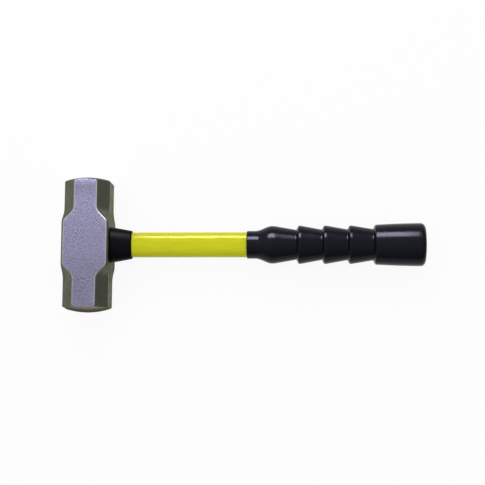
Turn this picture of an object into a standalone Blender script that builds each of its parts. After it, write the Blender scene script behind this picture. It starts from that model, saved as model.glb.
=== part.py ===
"""Short-handled double-face sledgehammer with a bonded fibreglass handle.

It lies on one cheek. +X runs along the handle from the head to the butt, +Y along the head between
its two striking faces, and +Z up. The origin is the centre of the lower cheek. Units are metres.
"""

import math

import bmesh
import bpy
from mathutils import Vector

# Whole hammer
OVERALL_LENGTH = 0.3572       # far side of the head to the end of the butt

# Head
HEAD_LENGTH = 0.1343          # crown to crown
HEAD_WIDTH = 0.0465           # along the handle, over the square middle
HEAD_DEPTH = 0.0457           # cheek to cheek
CHEEK_EDGE = 0.0019           # small edge chamfer on the square middle
CHEEK_HALF_LENGTH = 0.0203    # where the square middle ends
CHAMFER_LEG = 0.0117          # full chamfer on the necks
CHAMFER_RUN_OUT = 0.0175      # length over which the chamfer grows
RUN_OUT_LEAD = 0.72           # below 1, it grows soonest next to the square middle
NECK_INSET = 0.0004           # the necks stand in from the middle's sides by this
FACE_CROWN_RADIUS = 0.0700    # both striking faces are domed right across
RIM_START = 0.0066            # from the crown's top to where the sides start to roll over
RIM_REACH = 0.0026            # length of the whole roll, of which the dome cuts off the end
RIM_ROUND = 0.0024            # how far in the whole roll goes

# Fibreglass rod, a flat-sided oval in section
CORE_HEIGHT = 0.0248          # along Y
CORE_THICKNESS = 0.0184       # along Z
CORE_SQUARENESS = 2.4         # 2 is an ellipse, and more is nearer a rectangle
CORE_RECESS = 0.0008          # below the far side of the head

# Eye and its cast bond
EYE_BOND = 0.0022             # bond thickness on the handle side
EYE_FLARE = 0.0020            # more bond on the far side
BOND_RECESS = 0.0012

# Collar
COLLAR_LENGTH = 0.0206
COLLAR_WALL_AT_HEAD = 0.00515
COLLAR_WALL_AT_END = 0.00155
COLLAR_EDGE_RADIUS = 0.0012

# Grip, with its walls measured from half the rod's longer side
NECK_LENGTH = 0.0085
NECK_WALL = 0.00135
NECK_EDGE_RADIUS = 0.0012
BULGE_RISE_LENGTH = 0.0165
BULGE_WALL = 0.00625
BULGE_TAPER_LENGTH = 0.0233
STEP_COUNT = 4                # the last step rises to the butt
STEP_PITCH = 0.0251
STEP_RISE_LENGTH = 0.0034
VALLEY_WALL = 0.0025
VALLEY_GROWTH = 0.00022       # each valley is this much shallower than the one before
CREST_WALL = 0.0066
BUTT_LENGTH = 0.0524
BUTT_WALL_AT_STEP = 0.0073
BUTT_WALL_AT_END = 0.0088
BUTT_BARREL = 0.0003          # the butt swells by this half-way along
BUTT_CORNER_RADIUS = 0.0047
BUTT_DOME = 0.0009
BUTT_FLOOR = 0.0100           # rubber beyond the end of the rod

# Fits
SEAT_GAP = 0.0003             # between pieces that touch
CUT_MARGIN = 0.0050           # how far a cutter runs past what it cuts

# Facets
TURN_STEPS = 48
OVAL_STEPS = 36
CURVE_STEPS = 7

# Where the head's sides start to roll over
RIM_PLACE = HEAD_LENGTH / 2 - RIM_START

# Where things start and end along the handle
HEAD_FACE = HEAD_WIDTH / 2
COLLAR_START = HEAD_FACE + SEAT_GAP
COLLAR_END = COLLAR_START + COLLAR_LENGTH
GRIP_END = OVERALL_LENGTH - HEAD_FACE
LAST_VALLEY = GRIP_END - BUTT_LENGTH
FIRST_VALLEY = LAST_VALLEY - STEP_PITCH * (STEP_COUNT - 1)
BULGE_PEAK = FIRST_VALLEY - BULGE_TAPER_LENGTH
BULGE_START = BULGE_PEAK - BULGE_RISE_LENGTH
GRIP_START = BULGE_START - NECK_LENGTH
BORE_END = GRIP_END - BUTT_FLOOR
CORE_START = -HEAD_FACE + CORE_RECESS
CORE_END = BORE_END - SEAT_GAP


def smooth_step(share):
    return share * share * (3.0 - 2.0 * share)


def soft_step(share):
    """As smooth_step, with rounder shoulders and a steeper middle."""
    return share ** 3 * (share * (6.0 * share - 15.0) + 10.0)


def steps(count):
    return [index / count for index in range(count + 1)]


def finish_mesh(name, bm, material, sharp_angle=35.0):
    """Turn a bmesh into a named object with outward faces, a material and smooth shading."""
    bmesh.ops.recalc_face_normals(bm, faces=bm.faces)
    mesh = bpy.data.meshes.new(name)
    bm.to_mesh(mesh)
    bm.free()
    mesh.shade_smooth()
    mesh.set_sharp_from_angle(angle=math.radians(sharp_angle))
    piece = bpy.data.objects.new(name, mesh)
    bpy.context.collection.objects.link(piece)
    if material:
        mesh.materials.append(material)
    return piece


def make_cutter(piece):
    piece.hide_render = True
    piece.display_type = 'WIRE'
    return piece


def combine(piece, other, operation):
    modifier = piece.modifiers.new(operation.lower(), 'BOOLEAN')
    modifier.operation = operation
    modifier.solver = 'EXACT'
    modifier.object = make_cutter(other)


def make_material(name, colour, roughness, metallic):
    material = bpy.data.materials.new(name)
    material.use_nodes = True
    shader = material.node_tree.nodes["Principled BSDF"]
    shader.inputs["Base Color"].default_value = (*colour, 1.0)
    shader.inputs["Roughness"].default_value = roughness
    shader.inputs["Metallic"].default_value = metallic
    return material


def core_section(x, wall):
    """The rod's section at x, grown outwards by a wall."""
    power = 2 / CORE_SQUARENESS
    ring = []
    for index in range(OVAL_STEPS):
        angle = 2 * math.pi * index / OVAL_STEPS
        across = math.copysign(abs(math.cos(angle)) ** power, math.cos(angle))
        up = math.copysign(abs(math.sin(angle)) ** power, math.sin(angle))
        ring.append(Vector((x, (CORE_HEIGHT / 2 + wall) * across, (CORE_THICKNESS / 2 + wall) * up)))
    return ring


def loft(name, rings, material, ring_shaped=False):
    """Skin a row of like sections, capped at both ends or closed on itself as a ring."""
    bm = bmesh.new()
    loops = [[bm.verts.new(point) for point in ring] for ring in rings]
    pairs = list(zip(loops, loops[1:]))
    if ring_shaped:
        pairs.append((loops[-1], loops[0]))
    for near, far in pairs:
        for index in range(len(near)):
            after = (index + 1) % len(near)
            bm.faces.new((near[index], near[after], far[after], far[index]))
    if not ring_shaped:
        bm.faces.new(reversed(loops[0]))
        bm.faces.new(loops[-1])
    return finish_mesh(name, bm, material)


def turn(name, profile, axis, material, sharp_angle=35.0):
    """Turn a profile of (place along the axis, radius) points about the axis."""
    across = Vector((0, 0, 1))
    bm = bmesh.new()
    points = [bm.verts.new(axis * along + across * radius) for along, radius in profile]
    edges = [bm.edges.new(pair) for pair in zip(points, points[1:])]
    bmesh.ops.spin(bm, geom=points + edges, axis=axis, cent=(0, 0, 0), angle=2 * math.pi,
                   steps=TURN_STEPS, use_merge=True)
    bmesh.ops.remove_doubles(bm, verts=bm.verts, dist=1e-6)
    return finish_mesh(name, bm, material, sharp_angle)


def head_section(y):
    """Chamfered rectangle across the head at y: nearly square in the middle, an octagon on the necks."""
    share = (abs(y) - CHEEK_HALF_LENGTH) / CHAMFER_RUN_OUT
    share = soft_step(min(max(share, 0.0), 1.0) ** RUN_OUT_LEAD)
    rolled = min(max((abs(y) - RIM_PLACE) / RIM_REACH, 0.0), 1.0)
    less = RIM_ROUND * (1.0 - math.sqrt(1.0 - rolled ** 2))
    leg = CHEEK_EDGE + (CHAMFER_LEG - CHEEK_EDGE) * share - less / 2
    wide, deep = HEAD_WIDTH / 2 - NECK_INSET * share - less, HEAD_DEPTH / 2
    corners = [(wide, -deep + leg), (wide, deep - leg), (wide - leg, deep), (-wide + leg, deep),
               (-wide, deep - leg), (-wide, -deep + leg), (-wide + leg, -deep), (wide - leg, -deep)]
    return [Vector((x, y, z)) for x, z in corners]


def make_head(material):
    half = HEAD_LENGTH / 2
    side = [CHEEK_HALF_LENGTH + CHAMFER_RUN_OUT * share for share in steps(2 * CURVE_STEPS)]
    side += [RIM_PLACE + RIM_REACH * share for share in steps(CURVE_STEPS)]
    places = [-half - CUT_MARGIN] + [-y for y in reversed(side)] + side + [half + CUT_MARGIN]
    head = loft("sledge_head", [head_section(y) for y in places], material)

    # Domed striking faces at both ends
    reach = math.hypot(HEAD_WIDTH, HEAD_DEPTH) / 2 + CUT_MARGIN
    end = []
    for share in steps(2 * CURVE_STEPS):
        radius = reach * share
        drop = FACE_CROWN_RADIUS - math.sqrt(FACE_CROWN_RADIUS ** 2 - radius ** 2)
        end.append((half - drop, radius))
    profile = end + [(-along, radius) for along, radius in reversed(end)]
    combine(head, turn("head_ends_form", profile, Vector((0, 1, 0)), None), 'INTERSECT')

    combine(head, make_eye_form(), 'DIFFERENCE')
    return head


def bond_wall(x):
    """Thickness of the cast bond around the rod at x."""
    return EYE_BOND + EYE_FLARE * (HEAD_FACE - x) / HEAD_WIDTH


def make_eye_form():
    places = (-HEAD_FACE - CUT_MARGIN, HEAD_FACE + CUT_MARGIN)
    return loft("eye_form", [core_section(x, bond_wall(x)) for x in places], None)


def make_bond(material):
    far, near = -HEAD_FACE + BOND_RECESS, HEAD_FACE
    rings = [core_section(far, bond_wall(far) - SEAT_GAP),
             core_section(near, bond_wall(near) - SEAT_GAP),
             core_section(near, SEAT_GAP),
             core_section(far, SEAT_GAP)]
    return loft("eye_epoxy", rings, material, ring_shaped=True)


def make_core(material):
    rings = [core_section(CORE_START, 0.0), core_section(CORE_END, 0.0)]
    return loft("handle_core", rings, material)


def make_collar(material):
    slope = (COLLAR_WALL_AT_HEAD - COLLAR_WALL_AT_END) / COLLAR_LENGTH
    edge = min(COLLAR_EDGE_RADIUS, COLLAR_WALL_AT_END - SEAT_GAP)
    rings = [core_section(COLLAR_START, COLLAR_WALL_AT_HEAD)]
    for share in steps(CURVE_STEPS // 2):
        angle = math.pi / 2 * share
        x = COLLAR_END - edge * (1.0 - math.sin(angle))
        wall = COLLAR_WALL_AT_HEAD - slope * (x - COLLAR_START)
        rings.append(core_section(x, wall - edge * (1.0 - math.cos(angle))))
    rings.append(core_section(COLLAR_END, SEAT_GAP))
    rings.append(core_section(COLLAR_START, SEAT_GAP))
    return loft("head_collar", rings, material, ring_shaped=True)


def grip_profile():
    """Outline of the grip, from its front edge to the middle of the butt."""
    base = max(CORE_HEIGHT, CORE_THICKNESS) / 2
    neck = base + NECK_WALL
    bulge = base + BULGE_WALL
    crest = base + CREST_WALL
    butt = base + BUTT_WALL_AT_END
    valleys = [base + VALLEY_WALL + VALLEY_GROWTH * index for index in range(STEP_COUNT)]

    points = [(GRIP_START, 0.0)]
    for share in steps(CURVE_STEPS // 2):
        angle = math.pi / 2 * share
        points.append((GRIP_START + NECK_EDGE_RADIUS * (1.0 - math.sin(math.pi / 2 - angle)),
                       neck - NECK_EDGE_RADIUS * (1.0 - math.sin(angle))))
    for share in steps(CURVE_STEPS):
        points.append((BULGE_START + BULGE_RISE_LENGTH * share,
                       neck + (bulge - neck) * smooth_step(share)))

    for index, valley in enumerate(valleys):
        top = crest if index < STEP_COUNT - 1 else base + BUTT_WALL_AT_STEP
        foot = FIRST_VALLEY + STEP_PITCH * index
        points.append((foot, valley))
        for share in steps(CURVE_STEPS)[1:]:
            points.append((foot + STEP_RISE_LENGTH * share,
                           valley + (top - valley) * smooth_step(share)))

    corner = BUTT_CORNER_RADIUS
    start, swell_end = LAST_VALLEY + STEP_RISE_LENGTH, GRIP_END - BUTT_DOME - corner
    for share in steps(CURVE_STEPS)[1:-1]:
        swell = 4.0 * BUTT_BARREL * share * (1.0 - share)
        points.append((start + (swell_end - start) * share,
                       base + BUTT_WALL_AT_STEP + (BUTT_WALL_AT_END - BUTT_WALL_AT_STEP) * share + swell))
    for share in steps(CURVE_STEPS):
        angle = math.pi / 2 * share
        points.append((GRIP_END - BUTT_DOME - corner * (1.0 - math.sin(angle)),
                       butt - corner * (1.0 - math.cos(angle))))
    points.append((GRIP_END, 0.0))
    return points


def make_grip(material):
    grip = turn("grip_sleeve", grip_profile(), Vector((1, 0, 0)), material, sharp_angle=50.0)
    places = (GRIP_START - CUT_MARGIN, BORE_END)
    bore = loft("grip_bore_form", [core_section(x, SEAT_GAP) for x in places], None)
    combine(grip, bore, 'DIFFERENCE')
    return grip


def main():
    for old in list(bpy.data.objects):
        bpy.data.objects.remove(old, do_unlink=True)

    steel = make_material("ground_steel", (0.27, 0.26, 0.36), 0.42, 1.0)
    bond = make_material("cast_bond", (0.35, 0.30, 0.16), 0.35, 0.0)
    glass_fibre = make_material("yellow_fibreglass", (0.53, 0.54, 0.03), 0.35, 0.0)
    moulding = make_material("black_moulding", (0.012, 0.012, 0.014), 0.40, 0.0)
    rubber = make_material("black_rubber", (0.014, 0.014, 0.018), 0.30, 0.0)

    axis = bpy.data.objects.new("handle_axis", None)
    axis.location = (0, 0, HEAD_DEPTH / 2)
    bpy.context.collection.objects.link(axis)

    make_head(steel)
    make_bond(bond)
    make_core(glass_fibre)
    make_collar(moulding)
    make_grip(rubber)
    for piece in bpy.data.objects:
        if piece is not axis:
            piece.parent = axis
    bpy.context.view_layer.update()


main()
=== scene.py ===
import math
import bpy
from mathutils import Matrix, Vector


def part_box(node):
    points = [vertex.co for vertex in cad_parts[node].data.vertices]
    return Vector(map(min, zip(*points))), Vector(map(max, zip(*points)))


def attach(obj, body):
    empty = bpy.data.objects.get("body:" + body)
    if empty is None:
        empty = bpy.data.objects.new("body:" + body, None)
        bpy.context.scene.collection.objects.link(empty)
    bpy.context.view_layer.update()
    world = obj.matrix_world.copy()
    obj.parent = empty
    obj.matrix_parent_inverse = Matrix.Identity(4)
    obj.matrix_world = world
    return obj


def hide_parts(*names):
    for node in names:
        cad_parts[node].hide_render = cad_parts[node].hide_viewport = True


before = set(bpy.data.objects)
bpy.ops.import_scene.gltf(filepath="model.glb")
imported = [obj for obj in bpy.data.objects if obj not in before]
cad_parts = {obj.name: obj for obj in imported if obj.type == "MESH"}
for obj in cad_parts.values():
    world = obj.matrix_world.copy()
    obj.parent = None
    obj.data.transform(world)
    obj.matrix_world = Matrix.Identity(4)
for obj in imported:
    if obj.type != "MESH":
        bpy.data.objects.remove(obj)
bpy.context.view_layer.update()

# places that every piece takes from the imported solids
headLow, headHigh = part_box("sledge_head")
rodLow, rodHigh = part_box("handle_core")
bondLow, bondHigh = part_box("eye_epoxy")
collarLow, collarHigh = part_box("head_collar")
gripLow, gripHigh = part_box("grip_sleeve")
axisHeight = (headLow.z + headHigh.z) / 2  # height of the handle's axis over the floor
rodHalfY = (rodHigh.y - rodLow.y) / 2
rodHalfZ = (rodHigh.z - rodLow.z) / 2
rodSquareness = 2.4  # the rod's section is an oval with flattened sides; 2 would be a plain ellipse
boreSides = 96  # round the eye, the bond in it and the grip's bore
print("frame loaded, handle axis at", round(axisHeight * 1000, 2), "mm")


def tone(red, green, blue):
    # a colour as an eye-dropper shows it, made linear for the shader
    linear = []
    for part in (red, green, blue):
        share = part / 255
        linear.append(share / 12.92 if share <= 0.04045 else ((share + 0.055) / 1.055) ** 2.4)
    return (*linear, 1.0)


def smoothStep(share):
    share = min(max(share, 0.0), 1.0)
    return share * share * (3 - 2 * share)


def softStep(share):
    # as smoothStep, with rounder shoulders and a steeper middle
    share = min(max(share, 0.0), 1.0)
    return share ** 3 * (share * (6 * share - 15) + 10)


def shares(count):
    return [index / count for index in range(count + 1)]


def deselect():
    if bpy.context.object and bpy.context.object.mode == 'EDIT':
        bpy.ops.object.mode_set(mode='OBJECT')
    bpy.ops.object.select_all(action='DESELECT')


def makeActive(piece):
    deselect()
    piece.select_set(True)
    bpy.context.view_layer.objects.active = piece


def selectPoints(piece, test):
    # pick points by their place, then go on in edit mode
    bpy.ops.object.mode_set(mode='OBJECT')
    bpy.context.tool_settings.mesh_select_mode = (True, False, False)
    mesh = piece.data
    mesh.polygons.foreach_set("select", [False] * len(mesh.polygons))
    mesh.edges.foreach_set("select", [False] * len(mesh.edges))
    mesh.vertices.foreach_set("select", [test(point) for point in mesh.vertices])
    bpy.ops.object.mode_set(mode='EDIT')


def cleanUp(piece):
    makeActive(piece)
    bpy.ops.object.mode_set(mode='EDIT')
    bpy.ops.mesh.select_all(action='SELECT')
    bpy.ops.mesh.remove_doubles(threshold=0.000001)
    bpy.ops.mesh.normals_make_consistent(inside=False)
    bpy.ops.object.mode_set(mode='OBJECT')


def applyModifier(piece, kind, **values):
    makeActive(piece)
    modifier = piece.modifiers.new(kind.lower(), kind)
    for name, value in values.items():
        setattr(modifier, name, value)
    bpy.ops.object.modifier_apply(modifier=modifier.name)


def cutWith(piece, form, operation):
    applyModifier(piece, 'BOOLEAN', operation=operation, solver='EXACT', object=form)
    bpy.data.objects.remove(form, do_unlink=True)


def sweepRings(name, axis, rings, count, ringShaped=False, squareness=2.0):
    # a circle drawn out ring by ring; each ring is (place along the axis, half width, half height)
    # above 2, squareness flattens the circle's sides
    alongX = axis == 'X'
    direction = Vector((1, 0, 0)) if alongX else Vector((0, 1, 0))
    middle = Vector((0, 0, axisHeight))
    deselect()
    bpy.ops.mesh.primitive_circle_add(
        vertices=count, radius=rings[0][1], fill_type='NOTHING',
        location=middle + direction * rings[0][0],
        rotation=(0, math.pi / 2, 0) if alongX else (math.pi / 2, 0, 0))
    piece = bpy.context.object
    piece.name = name
    bpy.ops.object.transform_apply(location=True, rotation=True, scale=True)
    if squareness > 2:
        for point in piece.data.vertices:
            for side, centre in (("y", 0), ("z", axisHeight)):
                share = (getattr(point.co, side) - centre) / rings[0][1]
                share = math.copysign(abs(share) ** (2 / squareness), share)
                setattr(point.co, side, centre + share * rings[0][1])
    bpy.ops.object.mode_set(mode='EDIT')
    bpy.context.tool_settings.mesh_select_mode = (True, False, False)
    bpy.ops.mesh.select_all(action='SELECT')
    before = (rings[0][0], rings[0][1], rings[0][1])
    for ring in rings:
        if ring is not rings[0]:
            bpy.ops.mesh.extrude_region_move(
                TRANSFORM_OT_translate={"value": direction * (ring[0] - before[0])})
        wide, tall = ring[1] / before[1], ring[2] / before[2]
        bpy.ops.transform.resize(value=(1, wide, tall) if alongX else (wide, 1, tall),
                                 center_override=middle + direction * ring[0])
        before = ring
    if ringShaped:
        total = len(rings) * count
        selectPoints(piece, lambda point: point.index < count or point.index >= total - count)
        bpy.ops.mesh.bridge_edge_loops()
    else:
        bpy.ops.mesh.edge_face_add()
        selectPoints(piece, lambda point: point.index < count)
        bpy.ops.mesh.edge_face_add()
    cleanUp(piece)
    return piece


def dress(piece, node, angle=35):
    makeActive(piece)
    bpy.ops.object.shade_smooth_by_angle(angle=math.radians(angle))
    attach(piece, "root")
    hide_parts(node)
    print(piece.name, "done,", len(piece.data.polygons), "faces")


# shader pieces that several finishes share


def addNode(tree, kind, values=None, **settings):
    made = tree.nodes.new(kind)
    for name, value in settings.items():
        setattr(made, name, value)
    for name, value in (values or {}).items():
        made.inputs[name].default_value = value
    return made


def makeGrainGroup():
    # fine even grain of two sizes: a mask round 0.5, and the finer one's height for bump
    group = bpy.data.node_groups.new("fineGrain", 'ShaderNodeTree')
    group.interface.new_socket("Vector", in_out='INPUT', socket_type='NodeSocketVector')
    group.interface.new_socket("Scale", in_out='INPUT', socket_type='NodeSocketFloat')
    group.interface.new_socket("Mask", in_out='OUTPUT', socket_type='NodeSocketFloat')
    group.interface.new_socket("Height", in_out='OUTPUT', socket_type='NodeSocketFloat')
    source = addNode(group, 'NodeGroupInput')
    result = addNode(group, 'NodeGroupOutput')
    coarse = addNode(group, 'ShaderNodeTexNoise', {"Detail": 3.0, "Roughness": 0.7})
    finer = addNode(group, 'ShaderNodeMath', {1: 2.7}, operation='MULTIPLY')
    fine = addNode(group, 'ShaderNodeTexNoise', {"Detail": 2.0, "Roughness": 0.6})
    both = addNode(group, 'ShaderNodeMix', {"Factor": 0.45}, data_type='FLOAT')
    group.links.new(source.outputs["Vector"], coarse.inputs["Vector"])
    group.links.new(source.outputs["Vector"], fine.inputs["Vector"])
    group.links.new(source.outputs["Scale"], coarse.inputs["Scale"])
    group.links.new(source.outputs["Scale"], finer.inputs[0])
    group.links.new(finer.outputs[0], fine.inputs["Scale"])
    group.links.new(coarse.outputs["Fac"], both.inputs["A"])
    group.links.new(fine.outputs["Fac"], both.inputs["B"])
    group.links.new(both.outputs["Result"], result.inputs["Mask"])
    group.links.new(fine.outputs["Fac"], result.inputs["Height"])
    return group


def makeSmudgeGroup():
    # broad soft patches from handling, 0 to 1
    group = bpy.data.node_groups.new("handSmudge", 'ShaderNodeTree')
    group.interface.new_socket("Vector", in_out='INPUT', socket_type='NodeSocketVector')
    group.interface.new_socket("Scale", in_out='INPUT', socket_type='NodeSocketFloat')
    group.interface.new_socket("Mask", in_out='OUTPUT', socket_type='NodeSocketFloat')
    source = addNode(group, 'NodeGroupInput')
    result = addNode(group, 'NodeGroupOutput')
    patches = addNode(group, 'ShaderNodeTexNoise', {"Detail": 4.0, "Roughness": 0.55, "Distortion": 0.6})
    spread = addNode(group, 'ShaderNodeMapRange', {"From Min": 0.35, "From Max": 0.65})
    group.links.new(source.outputs["Vector"], patches.inputs["Vector"])
    group.links.new(source.outputs["Scale"], patches.inputs["Scale"])
    group.links.new(patches.outputs["Fac"], spread.inputs["Value"])
    group.links.new(spread.outputs["Result"], result.inputs["Mask"])
    return group


grainGroup = makeGrainGroup()
smudgeGroup = makeSmudgeGroup()


def useGroup(tree, group, vector, scale):
    made = addNode(tree, 'ShaderNodeGroup', node_tree=group)
    made.inputs["Scale"].default_value = scale
    tree.links.new(vector, made.inputs["Vector"])
    return made


def makeFinish(name, look):
    # a mottled, grained finish: two colours mixed by grain and patches, with roughness and bump
    material = bpy.data.materials.new(name)
    material.use_nodes = True
    tree = material.node_tree
    shader = tree.nodes["Principled BSDF"]
    shader.inputs["Metallic"].default_value = look["metallic"]
    shader.inputs["Specular IOR Level"].default_value = look.get("specular", 0.5)
    shader.inputs["Specular Tint"].default_value = look.get("grazing", (1, 1, 1, 1))
    place = addNode(tree, 'ShaderNodeTexCoord')
    mapped = addNode(tree, 'ShaderNodeMapping', {"Scale": look.get("stretch", (1, 1, 1))})
    tree.links.new(place.outputs["Object"], mapped.inputs["Vector"])
    grain = useGroup(tree, grainGroup, mapped.outputs["Vector"], look["grainScale"])
    smudge = useGroup(tree, smudgeGroup, mapped.outputs["Vector"], look["smudgeScale"])

    grained = addNode(tree, 'ShaderNodeMix', data_type='RGBA')
    grained.inputs["A"].default_value = look["dark"]
    grained.inputs["B"].default_value = look["light"]
    spread = addNode(tree, 'ShaderNodeMapRange', {"From Min": 0.36, "From Max": 0.64})
    tree.links.new(grain.outputs["Mask"], spread.inputs["Value"])
    tree.links.new(spread.outputs["Result"], grained.inputs["Factor"])
    patched = addNode(tree, 'ShaderNodeMix', data_type='RGBA')
    patched.inputs["B"].default_value = look["patch"]
    share = addNode(tree, 'ShaderNodeMath', {1: look["patchShare"]}, operation='MULTIPLY')
    tree.links.new(smudge.outputs["Mask"], share.inputs[0])
    tree.links.new(share.outputs[0], patched.inputs["Factor"])
    tree.links.new(grained.outputs["Result"], patched.inputs["A"])
    colour = patched.outputs["Result"]
    if "paintedShading" in look:  # painted light and shade: slow changes of tone along the head, from one end to the other
        split = addNode(tree, 'ShaderNodeSeparateXYZ')
        along = addNode(tree, 'ShaderNodeMapRange', {"From Min": headLow.y, "From Max": headHigh.y})
        ramp = addNode(tree, 'ShaderNodeValToRGB')
        stops = ramp.color_ramp.elements
        while len(stops) < len(look["paintedShading"]):
            stops.new(1.0)
        for stop, (position, level) in zip(stops, look["paintedShading"]):
            stop.position = position
            stop.color = (level, level, level, 1.0)
        withPaintedShade = addNode(tree, 'ShaderNodeMix', {"Factor": 1.0}, data_type='RGBA', blend_type='MULTIPLY')
        tree.links.new(place.outputs["Object"], split.inputs[0])
        tree.links.new(split.outputs["Y"], along.inputs["Value"])
        tree.links.new(along.outputs["Result"], ramp.inputs["Fac"])
        tree.links.new(colour, withPaintedShade.inputs["A"])
        tree.links.new(ramp.outputs["Color"], withPaintedShade.inputs["B"])
        colour = withPaintedShade.outputs["Result"]
    tree.links.new(colour, shader.inputs["Base Color"])

    low, high = look["roughness"]
    rough = addNode(tree, 'ShaderNodeMapRange', {"To Min": low, "To Max": high})
    tree.links.new(smudge.outputs["Mask"], rough.inputs["Value"])
    tree.links.new(rough.outputs["Result"], shader.inputs["Roughness"])
    bump = addNode(tree, 'ShaderNodeBump', {"Strength": look["bump"], "Distance": look["bumpDepth"]})
    tree.links.new(grain.outputs["Height"], bump.inputs["Height"])
    tree.links.new(bump.outputs["Normal"], shader.inputs["Normal"])
    return material


# the forged head

headSet = {
    "cheekEdge": 0.0019,      # small chamfer on the square middle
    "cheekHalf": 0.0203,      # where the square middle ends
    "chamferLeg": 0.0117,     # full chamfer on the necks
    "runOut": 0.0175,         # length over which the chamfer grows
    "runOutLead": 0.72,       # below 1, it grows soonest next to the square middle
    "runOutSteps": 24,
    "neckInset": 0.0004,      # the necks stand in from the middle's sides
    "crownRadius": 0.0700,    # the striking faces are domed right across
    "rimStart": 0.0066,       # from the crown's top to where the sides start to roll over
    "rimReach": 0.0026, "rimRound": 0.0024, "rimSteps": 7,  # the dome cuts off the end of the roll
    "endSides": 64, "endSteps": 16,
    "endReach": 1.5,          # the turned form's radius, in half widths of the head
    "edgeRound": 0.0011,      # on the edges without the lighter worn and painted-highlight finish
    "wornGlintRound": 0.0007,      # on the long edges of the cheeks and of the necks' sides, carrying the lighter edge finish
    "eyeBond": 0.0022,        # bond between the eye and the rod, on the handle side
    "eyeFlare": 0.0020,       # more of it on the far side
    "spare": 0.005,           # how far cutting forms run past the steel
}

steelLooks = {
    # darker forged scale on the chamfers and necks, with an olive tint that is painted shade
    "forgedSteelShadeTint": {
        "dark": tone(88, 91, 78), "light": tone(120, 122, 106),
        "patch": tone(78, 80, 68), "patchShare": 0.6,
        "metallic": 1.0, "grazing": tone(196, 199, 190), "grainScale": 900, "smudgeScale": 90,
        "roughness": (0.26, 0.38), "bump": 0.3, "bumpDepth": 0.0002},
    # the same forged steel on the side faces, with a more olive painted shade tint
    "forgedSidePaintedShade": {
        "dark": tone(88, 92, 70), "light": tone(118, 121, 98),
        "patch": tone(72, 75, 52), "patchShare": 0.6,
        # painted shade: a dark band on the side faces just on the -Y side of the handle, where the collar's
        # shadow falls, and painted light towards the +Y neck
        "paintedShading": ((0.0, 1.0), (0.2, 0.9), (0.29, 0.42), (0.42, 0.42), (0.6, 0.9), (0.78, 1.0), (0.86, 1.35)),
        "metallic": 1.0, "grazing": tone(184, 187, 170), "grainScale": 900, "smudgeScale": 90,
        "roughness": (0.26, 0.38), "bump": 0.3, "bumpDepth": 0.0002},
    # ground cheeks, with a lilac tint that is painted light colour
    "groundCheekLitTint": {
        "dark": tone(78, 77, 93), "light": tone(158, 156, 180),
        "patch": tone(120, 118, 139), "patchShare": 0.3,
        # painted light: the cheeks brighten steeply towards the +Y end, on the side of the lamps
        "paintedShading": ((0.09, 0.57), (0.3, 0.525), (0.45, 0.58), (0.81, 0.58), (0.87, 0.495),
                 (0.917, 0.47), (0.936, 0.53), (0.951, 0.67), (0.965, 0.92)),
        "metallic": 1.0, "grazing": tone(160, 158, 170), "grainScale": 700, "smudgeScale": 45,
        "roughness": (0.42, 0.52), "bump": 0.5, "bumpDepth": 0.0004},
    "strikingFace": {
        "dark": tone(160, 155, 142), "light": tone(190, 185, 170),
        "patch": tone(140, 136, 120), "patchShare": 0.5,
        # the near-black grazing tint paints a dark rim on the domes, in place of the shadow they would
        # reflect from under the head
        "metallic": 1.0, "grazing": tone(12, 12, 9), "grainScale": 700, "smudgeScale": 70,
        "roughness": (0.26, 0.4), "bump": 0.15, "bumpDepth": 0.0002},
    # lighter than the cheeks: part rubbed bare steel, part a painted highlight along the edges
    "wornEdgeGlint": {
        "dark": tone(122, 122, 125), "light": tone(157, 156, 160),
        "patch": tone(107, 108, 108), "patchShare": 0.5,
        "metallic": 1.0, "grazing": tone(150, 150, 150), "grainScale": 900, "smudgeScale": 160,
        "roughness": (0.36, 0.46), "bump": 0.15, "bumpDepth": 0.0002},
}


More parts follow.
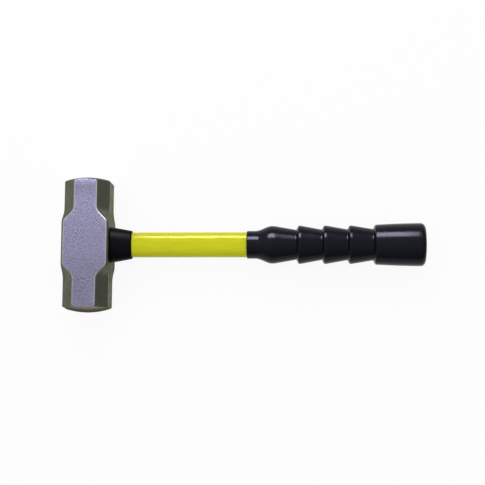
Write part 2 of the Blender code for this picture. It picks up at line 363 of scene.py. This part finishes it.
def makeHeadBar(halfWidth, halfLength):
    # an eight-sided bar, cut into stations and drawn in at each one
    halfDepth = (headHigh.z - headLow.z) / 2
    deselect()
    bpy.ops.mesh.primitive_cylinder_add(
        vertices=8, radius=halfDepth / math.cos(math.pi / 8), depth=2 * (halfLength + headSet["spare"]),
        location=(0, 0, axisHeight), rotation=(math.pi / 2, math.pi / 8, 0))
    head = bpy.context.object
    head.name = "sledgeHead"
    bpy.ops.object.transform_apply(location=True, rotation=True, scale=True)
    runOut, rim = headSet["runOut"], halfLength - headSet["rimStart"]
    stations = [headSet["cheekHalf"] + runOut * share for share in shares(headSet["runOutSteps"])]
    stations += [rim + headSet["rimReach"] * share for share in shares(headSet["rimSteps"])]
    stations += [-place for place in stations]
    bpy.ops.object.mode_set(mode='EDIT')
    for place in stations:
        bpy.ops.mesh.select_all(action='SELECT')
        bpy.ops.mesh.bisect(plane_co=(0, place, 0), plane_no=(0, 1, 0))
    ends = [halfLength + headSet["spare"], -halfLength - headSet["spare"]]
    flat = halfDepth * math.tan(math.pi / 8)  # half of one side of the plain bar
    for place in stations + ends:
        grown = min(max((abs(place) - headSet["cheekHalf"]) / runOut, 0.0), 1.0)
        share = softStep(grown ** headSet["runOutLead"])
        rolled = min(max((abs(place) - rim) / headSet["rimReach"], 0.0), 1.0)
        less = headSet["rimRound"] * (1 - math.sqrt(1 - rolled ** 2))
        chamfer = headSet["cheekEdge"] + (headSet["chamferLeg"] - headSet["cheekEdge"]) * share - less / 2
        wide = halfWidth - headSet["neckInset"] * share - less
        middle = (0, place, axisHeight)
        onLoop = lambda point: abs(point.co.y - place) < 0.00001
        onSide = lambda point: abs(point.co.x) > halfDepth * 0.99
        selectPoints(head, lambda point: onLoop(point) and onSide(point))
        bpy.ops.transform.resize(value=(wide / halfDepth, 1, (halfDepth - chamfer) / flat),
                                 center_override=middle)
        onCheek = lambda point: abs(point.co.z - axisHeight) > halfDepth * 0.99
        selectPoints(head, lambda point: onLoop(point) and onCheek(point))
        bpy.ops.transform.resize(value=((wide - chamfer) / flat, 1, 1), center_override=middle)
    cleanUp(head)
    return head


def makeEndForm(halfWidth, halfLength):
    # turned form with a dome at both ends
    ball = headSet["crownRadius"]
    outer = halfWidth * headSet["endReach"]
    end = []
    for share in shares(headSet["endSteps"])[:-1]:
        across = outer * (1 - share)
        end.append((halfLength - ball + math.sqrt(ball ** 2 - across ** 2), across))
    rings = [(-along, across, across) for along, across in reversed(end)]
    rings += [(along, across, across) for along, across in end]
    return sweepRings("endForm", 'Y', rings, headSet["endSides"])


def bondWall(along):
    share = (headHigh.x - along) / (headHigh.x - headLow.x)
    return headSet["eyeBond"] + headSet["eyeFlare"] * share


def makeHead():
    halfWidth = (headHigh.x - headLow.x) / 2
    halfLength = (headHigh.y - headLow.y) / 2
    head = makeHeadBar(halfWidth, halfLength)
    cutWith(head, makeEndForm(halfWidth, halfLength), 'INTERSECT')
    eye = [headLow.x - headSet["spare"], headHigh.x + headSet["spare"]]
    rings = [(along, rodHalfY + bondWall(along), rodHalfZ + bondWall(along)) for along in eye]
    cutWith(head, sweepRings("eyeForm", 'X', rings, boreSides, squareness=rodSquareness), 'DIFFERENCE')
    cleanUp(head)

    finishes = ["forgedSteelShadeTint", "groundCheekLitTint", "strikingFace", "wornEdgeGlint", "forgedSidePaintedShade"]
    for name in finishes:
        head.data.materials.append(makeFinish(name, steelLooks[name]))
    for side in head.data.polygons:  # each face's finish follows from where it points; the cheeks carry a painted lilac light tint, the chamfers and sides a painted olive shade tint
        across, along, up = [abs(part) for part in side.normal]
        finish = "forgedSteelShadeTint"
        if along > 0.85:
            finish = "strikingFace"
        elif up > 0.5 and across < 0.2:
            finish = "groundCheekLitTint"
        elif across > 0.5 and up < 0.2:
            finish = "forgedSidePaintedShade"
        side.material_index = finishes.index(finish)
    # lighter edges, part real wear and part painted highlight, on the cheeks' long edges and, growing
    # outwards, on those of the necks' sides
    weights = head.data.attributes.new("bevel_weight_edge", 'FLOAT', 'EDGE')
    for edge in head.data.edges:
        first, last = [head.data.vertices[index].co for index in edge.vertices]
        onCheek = min(abs(first.z - axisHeight), abs(last.z - axisHeight)) > axisHeight * 0.999
        lengthwise = abs(first.y - last.y) > 0.0001 and abs(first.y + last.y) < halfLength * 1.8
        onSide = min(abs(first.x), abs(last.x)) > halfWidth * 0.9
        outward = (min(abs(first.y), abs(last.y)) - headSet["cheekHalf"]) / headSet["runOut"]
        wearAndGlint = 1.0 if onCheek else smoothStep(outward) if onSide else 0.0
        weights.data[edge.index].value = wearAndGlint if lengthwise else 0.0
    applyModifier(head, 'BEVEL', width=headSet["wornGlintRound"], segments=3, limit_method='WEIGHT',
                  material=finishes.index("wornEdgeGlint"))
    applyModifier(head, 'BEVEL', width=headSet["edgeRound"], segments=3, limit_method='ANGLE',
                  angle_limit=math.radians(24))
    dress(head, "sledge_head", 30)
    applyModifier(head, 'WEIGHTED_NORMAL', keep_sharp=True, weight=80)


makeHead()


# the cast bond in the eye

bondSet = {
    "clear": 0.0002,          # from the steel and the rod, so nothing is shared
    "dish": 0.0006,           # the cast surface sinks towards the rod
    "look": {
        "dark": tone(150, 138, 96), "light": tone(178, 166, 122),
        "patch": tone(132, 120, 84), "patchShare": 0.5,
        "metallic": 0.0, "grainScale": 500, "smudgeScale": 120,
        "roughness": (0.28, 0.42), "bump": 0.2, "bumpDepth": 0.0003},
}


def makeBond():
    near, far = bondHigh.x, bondLow.x
    outer = lambda along: bondWall(along) - bondSet["clear"]
    inner = bondSet["clear"]
    rings = [(near, inner), (near, outer(near)), (far, outer(far))]
    for share in shares(5)[1:]:
        wall = outer(far) + (inner - outer(far)) * share
        rings.append((far + bondSet["dish"] * math.sin(math.pi * share), wall))
    rings = [(along, rodHalfY + wall, rodHalfZ + wall) for along, wall in rings]
    bond = sweepRings("eyeBond", 'X', rings, boreSides, ringShaped=True, squareness=rodSquareness)
    bond.data.materials.append(makeFinish("castBond", bondSet["look"]))
    dress(bond, "eye_epoxy")


makeBond()


# the fibreglass rod

rodSet = {
    "sides": 128,
    "endRound": 0.0006,
    "look": {
        "dark": tone(190, 191, 26), "light": tone(205, 206, 40),
        "patch": tone(196, 197, 32), "patchShare": 0.4,
        "metallic": 0.0, "specular": 0.16, "grazing": (1.0, 0.97, 0.38, 1.0),
        "grainScale": 420, "smudgeScale": 40, "stretch": (0.06, 1, 1),  # drawn out along the fibres
        "roughness": (0.08, 0.12), "bump": 0.018, "bumpDepth": 0.0002},
}


def makeRod():
    cut = rodSet["endRound"]  # the end that shows is rounded in two cuts, the hidden end in one
    rings = [(rodLow.x, cut), (rodLow.x + cut * 0.3, cut * 0.3), (rodLow.x + cut, 0)]
    rings += [(rodHigh.x - cut, 0), (rodHigh.x, cut)]
    rings = [(along, rodHalfY - less, rodHalfZ - less) for along, less in rings]
    rod = sweepRings("fibreRod", 'X', rings, rodSet["sides"], squareness=rodSquareness)
    rod.data.materials.append(makeFinish("yellowFibreglass", rodSet["look"]))
    dress(rod, "handle_core")


makeRod()


# the moulded collar under the head

collarSet = {
    "wallAtHead": 0.00515,
    "wallAtEnd": 0.00155,
    "headEdge": 0.0003,       # small chamfer next to the head
    "endRound": 0.0012,
    "sides": 128,
    "clear": 0.0002,
    "look": {
        "dark": tone(9, 9, 11), "light": tone(15, 14, 17),
        "patch": tone(18, 17, 19), "patchShare": 0.3,
        "metallic": 0.0, "specular": 0.027, "grainScale": 1100, "smudgeScale": 90,
        "roughness": (0.30, 0.42), "bump": 0.2, "bumpDepth": 0.0002},
}


def makeCollar():
    start, end = collarLow.x, collarHigh.x
    slope = (collarSet["wallAtHead"] - collarSet["wallAtEnd"]) / (end - start)
    edge = collarSet["headEdge"]
    rings = [(start, collarSet["clear"]), (start, collarSet["wallAtHead"] - edge),
             (start + edge, collarSet["wallAtHead"])]
    for share in shares(6):
        angle = math.pi / 2 * share
        along = end - collarSet["endRound"] * (1 - math.sin(angle))
        wall = collarSet["wallAtHead"] - slope * (along - start)
        rings.append((along, wall - collarSet["endRound"] * (1 - math.cos(angle))))
    rings.append((end, collarSet["clear"]))
    rings = [(along, rodHalfY + wall, rodHalfZ + wall) for along, wall in rings]
    collar = sweepRings("headCollar", 'X', rings, collarSet["sides"], ringShaped=True,
                        squareness=rodSquareness)
    collar.data.materials.append(makeFinish("collarMoulding", collarSet["look"]))
    dress(collar, "head_collar")


makeCollar()


# the rubber grip, turned round its axis

gripSet = {
    "neck": 0.01375, "neckLength": 0.0085, "neckRound": 0.0012,
    "bulge": 0.01865, "bulgeRise": 0.0165, "bulgeTaper": 0.0233, "bulgeRound": 0.0040,
    "valley": 0.0149, "valleyGrowth": 0.00022, "crest": 0.0190, "crestRound": 0.0030,
    "valleyLead": 0.0004, "valleyFloor": 0.0004,  # nearly level, before and past a valley's foot
    "stepPitch": 0.0251, "stepCount": 4, "stepRise": 0.0030,
    "stepBow": 1.4,           # above 1, a step starts less abruptly than a quarter of a sine wave
    "buttAtStep": 0.0197, "buttAtEnd": 0.0212, "barrel": 0.0003, "buttRound": 0.0047,
    "dome": 0.0009, "domeCap": 0.03,  # the cap is the flat middle of the dome, as a share of it
    "sides": 128, "clear": 0.0002, "spare": 0.005,
    "look": {
        "dark": tone(10, 10, 18), "light": tone(15, 15, 26),
        "patch": tone(17, 16, 27), "patchShare": 0.3,
        "metallic": 0.0, "specular": 0.11, "grazing": (0.86, 0.86, 1.0, 1.0),
        "grainScale": 500, "smudgeScale": 70,
        "roughness": (0.16, 0.22), "bump": 0.05, "bumpDepth": 0.0002},
}


def taper(start, end, rounding):
    # a straight taper whose first stretch rolls over from level; (place, radius) points
    slope = (start[1] - end[1]) / (end[0] - start[0] - rounding / 2)
    points = []
    for share in shares(4):
        run = rounding * share
        points.append((start[0] + run, start[1] - slope * run * share / 2))
    return points + [(end[0] - gripSet["valleyLead"], end[1] + slope * gripSet["valleyLead"])]


def gripOutline():
    # (place along the handle, radius) from the front lip to the middle of the butt
    start, end = gripLow.x, gripHigh.x
    bulgeStart = start + gripSet["neckLength"]
    peak = bulgeStart + gripSet["bulgeRise"]
    outline = []
    for share in shares(6):
        angle = math.pi / 2 * share
        outline.append((start + gripSet["neckRound"] * (1 - math.cos(angle)),
                        gripSet["neck"] - gripSet["neckRound"] * (1 - math.sin(angle))))
    for share in shares(20)[:-1]:
        outline.append((bulgeStart + gripSet["bulgeRise"] * share,
                        gripSet["neck"] + (gripSet["bulge"] - gripSet["neck"]) * smoothStep(share)))
    crest, rounding = (peak, gripSet["bulge"]), gripSet["bulgeRound"]
    for index in range(gripSet["stepCount"]):
        foot = peak + gripSet["bulgeTaper"] + gripSet["stepPitch"] * index
        valley = gripSet["valley"] + gripSet["valleyGrowth"] * index
        outline += taper(crest, (foot, valley), rounding)
        top = gripSet["crest"] if index < gripSet["stepCount"] - 1 else gripSet["buttAtStep"]
        foot += gripSet["valleyFloor"]
        crest, rounding = (foot + gripSet["stepRise"], top), gripSet["crestRound"]
        for share in shares(14)[:-1]:
            risen = math.sin(math.pi / 2 * share) ** gripSet["stepBow"]
            outline.append((foot + gripSet["stepRise"] * share, valley + (top - valley) * risen))
    corner = gripSet["buttRound"]
    swellEnd = (end - gripSet["dome"] - corner, gripSet["buttAtEnd"])
    for share in shares(12)[:-1]:
        swell = 4 * gripSet["barrel"] * share * (1 - share)
        outline.append((crest[0] + (swellEnd[0] - crest[0]) * share,
                        crest[1] + (swellEnd[1] - crest[1]) * share + swell))
    for share in shares(12):
        angle = math.pi / 2 * share
        outline.append((end - gripSet["dome"] - corner * (1 - math.sin(angle)),
                        gripSet["buttAtEnd"] - corner * (1 - math.cos(angle))))
    flat = gripSet["buttAtEnd"] - corner
    for share in shares(5)[1:]:
        across = flat * (1 - share * (1 - gripSet["domeCap"]))
        outline.append((end - gripSet["dome"] * (1 - share) ** 2, across))
    return outline


def makeGrip():
    rings = [(along, radius, radius) for along, radius in gripOutline()]
    grip = sweepRings("gripSleeve", 'X', rings, gripSet["sides"])
    bore = [gripLow.x - gripSet["spare"], rodHigh.x + gripSet["clear"]]
    rings = [(along, rodHalfY + gripSet["clear"], rodHalfZ + gripSet["clear"]) for along in bore]
    cutWith(grip, sweepRings("boreForm", 'X', rings, boreSides, squareness=rodSquareness), 'DIFFERENCE')
    cleanUp(grip)
    grip.data.materials.append(makeFinish("gripRubber", gripSet["look"]))
    dress(grip, "grip_sleeve", 50)


makeGrip()


# floor, light and camera

stageSet = {
    "floorHalf": 15.0, "floorGap": 0.0002,
    "floorTone": 0.85,
    "floorGlow": 0.92,        # how much of the floor's white comes without the lamps' shadows
    "skyTop": 1.08, "skySide": 0.30,
    "skyLeft": 1.4, "skyRight": 0.6,  # the left of the room is brighter than the right
    "skyBack": 1.4, "skyFront": 0.6,  # and the back brighter than the front
    "stripAngle": 52.0, "stripDistance": 1.0, "stripAlong": 0.0,  # from straight up, towards the back
    "stripSize": (0.80, 0.44), "stripTone": (0.90, 0.88, 1.0),
    "keyPower": 2.7,
    "glintPower": 36.0, "glintBehind": 0.02,  # only for reflections, like a bright tube behind a cover
}


def makeFloor():
    deselect()
    bpy.ops.mesh.primitive_plane_add(
        size=2 * stageSet["floorHalf"], location=(0, 0, headLow.z - stageSet["floorGap"]))
    floor = bpy.context.object
    floor.name = "studioFloor"
    material = bpy.data.materials.new("paleFloor")
    material.use_nodes = True
    tree = material.node_tree
    shader = tree.nodes["Principled BSDF"]
    shader.inputs["Base Color"].default_value = (*[stageSet["floorTone"]] * 3, 1.0)
    shader.inputs["Roughness"].default_value = 0.9
    shader.inputs["Specular IOR Level"].default_value = 0.0
    white = addNode(tree, 'ShaderNodeEmission', {"Color": (1, 1, 1, 1), "Strength": 1.0})
    rays = addNode(tree, 'ShaderNodeLightPath')
    seen = addNode(tree, 'ShaderNodeMath', operation='ADD', use_clamp=True)
    seenToo = addNode(tree, 'ShaderNodeMath', operation='ADD', use_clamp=True)
    share = addNode(tree, 'ShaderNodeMath', {1: stageSet["floorGlow"]}, operation='MULTIPLY')
    both = addNode(tree, 'ShaderNodeMixShader')
    tree.links.new(rays.outputs["Is Camera Ray"], seen.inputs[0])
    tree.links.new(rays.outputs["Is Glossy Ray"], seen.inputs[1])
    tree.links.new(seen.outputs[0], seenToo.inputs[0])
    tree.links.new(rays.outputs["Is Transmission Ray"], seenToo.inputs[1])
    tree.links.new(seenToo.outputs[0], share.inputs[0])
    tree.links.new(share.outputs[0], both.inputs[0])
    tree.links.new(shader.outputs[0], both.inputs[1])
    tree.links.new(white.outputs[0], both.inputs[2])
    tree.links.new(both.outputs[0], tree.nodes["Material Output"].inputs["Surface"])
    floor.data.materials.append(material)


def makeSky():
    # plain studio surroundings: bright overhead, dimmer round the sides
    world = bpy.data.worlds.new("studioSky")
    bpy.context.scene.world = world
    world.use_nodes = True
    tree = world.node_tree
    background = tree.nodes["Background"]
    background.inputs["Color"].default_value = (1, 1, 1, 1)
    place = addNode(tree, 'ShaderNodeTexCoord')
    split = addNode(tree, 'ShaderNodeSeparateXYZ')
    level = addNode(tree, 'ShaderNodeMapRange', {
        "From Min": 0.0, "From Max": 0.9, "To Min": stageSet["skySide"], "To Max": stageSet["skyTop"]})
    tree.links.new(place.outputs["Generated"], split.inputs[0])
    tree.links.new(split.outputs["Z"], level.inputs["Value"])
    strength = level.outputs["Result"]
    for axis, low, high in (("X", "skyLeft", "skyRight"), ("Y", "skyFront", "skyBack")):
        across = addNode(tree, 'ShaderNodeMapRange', {
            "From Min": -1.0, "To Min": stageSet[low], "To Max": stageSet[high]})
        both = addNode(tree, 'ShaderNodeMath', operation='MULTIPLY')
        tree.links.new(split.outputs[axis], across.inputs["Value"])
        tree.links.new(strength, both.inputs[0])
        tree.links.new(across.outputs["Result"], both.inputs[1])
        strength = both.outputs[0]
    tree.links.new(strength, background.inputs["Strength"])


def makeStrip(name, power, distance):
    # one long strip beside the hammer, which draws the line along the rod and the glints on the grip
    angle = math.radians(stageSet["stripAngle"])
    aim = Vector((stageSet["stripAlong"], 0, axisHeight))
    place = aim + Vector((0, math.sin(angle), math.cos(angle))) * distance
    deselect()
    bpy.ops.object.light_add(type='AREA', location=place)
    lamp = bpy.context.object
    lamp.name = name
    lamp.data.shape = 'RECTANGLE'
    lamp.data.size, lamp.data.size_y = stageSet["stripSize"]
    lamp.data.energy = power
    lamp.data.color = stageSet["stripTone"]
    lamp.rotation_euler = (aim - place).to_track_quat('-Z', 'Y').to_euler()
    return lamp


cameraSet = {
    "target": (0.15360, 0.00234),   # the point of the handle's plane in the middle of the picture
    "distance": 1.1493,
    "tilt": 7.0, "pan": 3.05, "roll": 0.30,
    "focalPixels": 1161.6, "picturePixels": 485, "sensor": 36.0,
}


def makeCamera():
    tilt, pan = math.radians(cameraSet["tilt"]), math.radians(cameraSet["pan"])
    forward = Vector((-math.sin(pan) * math.cos(tilt), math.sin(tilt), -math.cos(pan) * math.cos(tilt)))
    target = Vector((*cameraSet["target"], axisHeight))
    deselect()
    bpy.ops.object.camera_add(location=target - forward * cameraSet["distance"])
    camera = bpy.context.object
    camera.rotation_mode = 'ZXY'
    camera.rotation_euler = (tilt, pan, math.radians(cameraSet["roll"]))
    camera.data.sensor_width = cameraSet["sensor"]
    camera.data.lens = cameraSet["sensor"] * cameraSet["focalPixels"] / cameraSet["picturePixels"]
    bpy.context.scene.camera = camera


makeFloor()
makeSky()
stripFar = stageSet["stripDistance"]
makeStrip("keyStrip", stageSet["keyPower"], stripFar)
makeStrip("glintStrip", stageSet["glintPower"], stripFar + stageSet["glintBehind"]).visible_diffuse = False
makeCamera()
bpy.context.scene.view_settings.view_transform = 'Standard'
print("floor, light and camera set")
